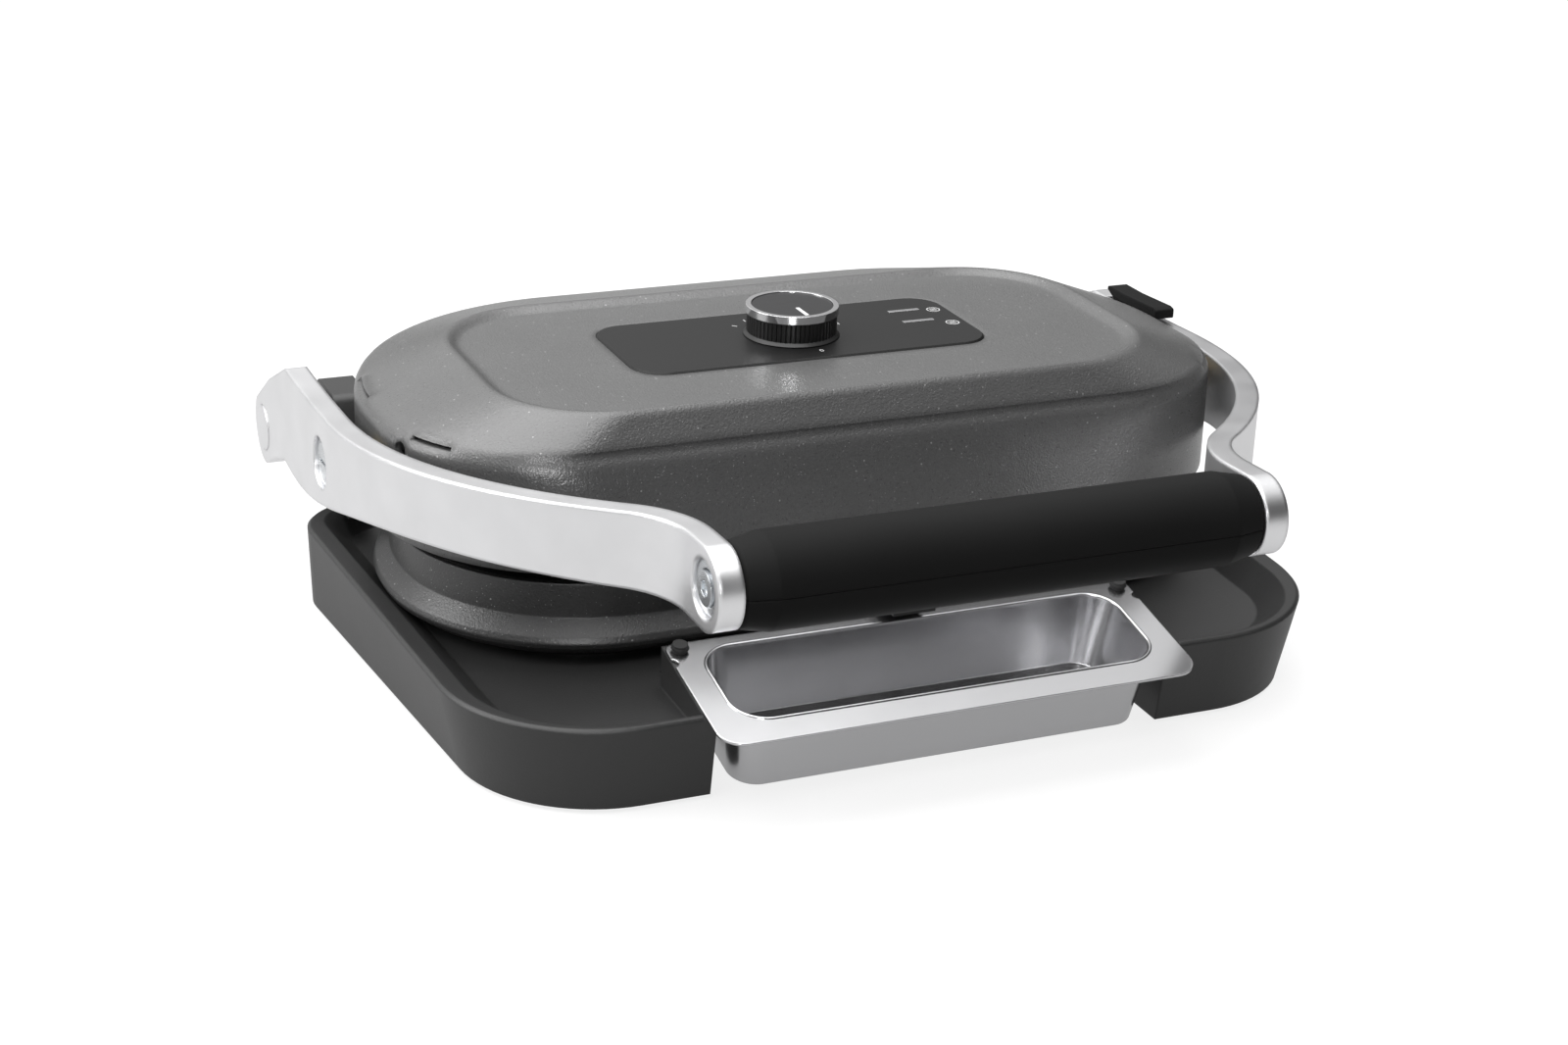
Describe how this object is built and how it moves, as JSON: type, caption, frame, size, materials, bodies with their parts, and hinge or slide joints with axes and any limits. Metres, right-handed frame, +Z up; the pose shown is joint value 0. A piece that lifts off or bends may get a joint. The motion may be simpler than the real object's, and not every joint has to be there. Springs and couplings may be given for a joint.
{
  "type": "contact grill",
  "caption": "Closed contact grill: ribbed plates in a coated lid and housing, forked arms with a bar grip, turning dial and a slide-out drip tray.",
  "frame": {"origin": "on the table, under the middle of the closed grill's box", "axes": "+X to the user's right along the grip, +Y from the grip to the rear hinge, +Z up"},
  "size_m": [0.3972, 0.347, 0.1379],
  "materials": {
    "black_plastic": "fine matt moulding grain",
    "bare_steel": "plain sheet",
    "foot_rubber": "matt",
    "speckled_coating": "dark grey coating with fine pale flecks",
    "nonstick_plate": "satin non-stick coating on cast aluminium",
    "element_sheath": "heat-stained tube",
    "cast_aluminium": "satin, bead blasted",
    "bolt_steel": "zinc plated",
    "grip_plastic": "satin black",
    "panel_plastic": "satin black with a bevelled edge",
    "lens_plastic": "pale translucent",
    "inner_plastic": "heat-resistant moulding",
    "bush_metal": "turned",
    "knob_plastic": "black, fluted side",
    "knob_chrome": "polished ring",
    "pointer_white": "pale inlay",
    "tray_aluminium": "satin pressed sheet",
    "stud_rubber": "matt"
  },
  "bodies": {
    "base": {"base_shell": "black_plastic", "bottom_cover": "bare_steel", "rubber_feet": "foot_rubber", "lower_housing": "speckled_coating", "lower_plate": "nonstick_plate", "lower_element": "element_sheath", "lower_reflector": "bare_steel", "right_hinge_tower": "black_plastic", "left_hinge_tower": "black_plastic", "hinge_pins": "bolt_steel", "cord_gland": "black_plastic", "terminal_block": "inner_plastic"},
    "arms": {"left_arm": "cast_aluminium", "right_arm": "cast_aluminium", "hinge_caps": "cast_aluminium", "pivot_bolts": "bolt_steel", "grip_bolts": "bolt_steel", "grip_upper": "grip_plastic", "grip_lower": "grip_plastic", "grip_core": "bolt_steel", "lever_pin": "bolt_steel"},
    "lid": {"lid_shell": "speckled_coating", "upper_plate": "nonstick_plate", "upper_element": "element_sheath", "upper_reflector": "bare_steel", "control_panel": "panel_plastic", "indicator_lenses": "lens_plastic", "thermostat": "inner_plastic", "lid_bushes": "bush_metal", "lid_brackets": "bare_steel"},
    "knob": {"knob_body": "knob_plastic", "knob_ring": "knob_chrome", "knob_disc": "knob_plastic", "knob_pointer": "pointer_white"},
    "tray": {"drip_tray": "tray_aluminium", "tray_studs": "stud_rubber"},
    "lever": {"release_lever": "grip_plastic"}
  },
  "joints": [
    {"name": "arm_hinge", "type": "hinge", "parent": "base", "child": "arms", "pos_m": [0, 0.1575, 0.063], "axis": [-1, 0, 0], "range_deg": [0, 100]},
    {"name": "lid_tilt", "type": "hinge", "parent": "arms", "child": "lid", "pos_m": [0, 0.0525, 0.084], "axis": [1, 0, 0], "range_deg": [0, 8]},
    {"name": "dial_turn", "type": "hinge", "parent": "lid", "child": "knob", "pos_m": [0, 0.0357, 0.13], "axis": [0, 0, -1], "range_deg": [0, 285]},
    {"name": "tray_slide", "type": "slide", "parent": "base", "child": "tray", "axis": [0, -1, 0], "range_m": [0, 0.09]},
    {"name": "lever_lift", "type": "hinge", "parent": "arms", "child": "lever", "pos_m": [0.1935, 0.092, 0.1023], "axis": [-1, 0, 0], "range_deg": [0, 20], "stiffness_Nm_per_rad": 0.05}
  ],
  "couplings": [
    {"joint": "lid_tilt", "follows": "arm_hinge", "ratio": 0.08}
  ]
}
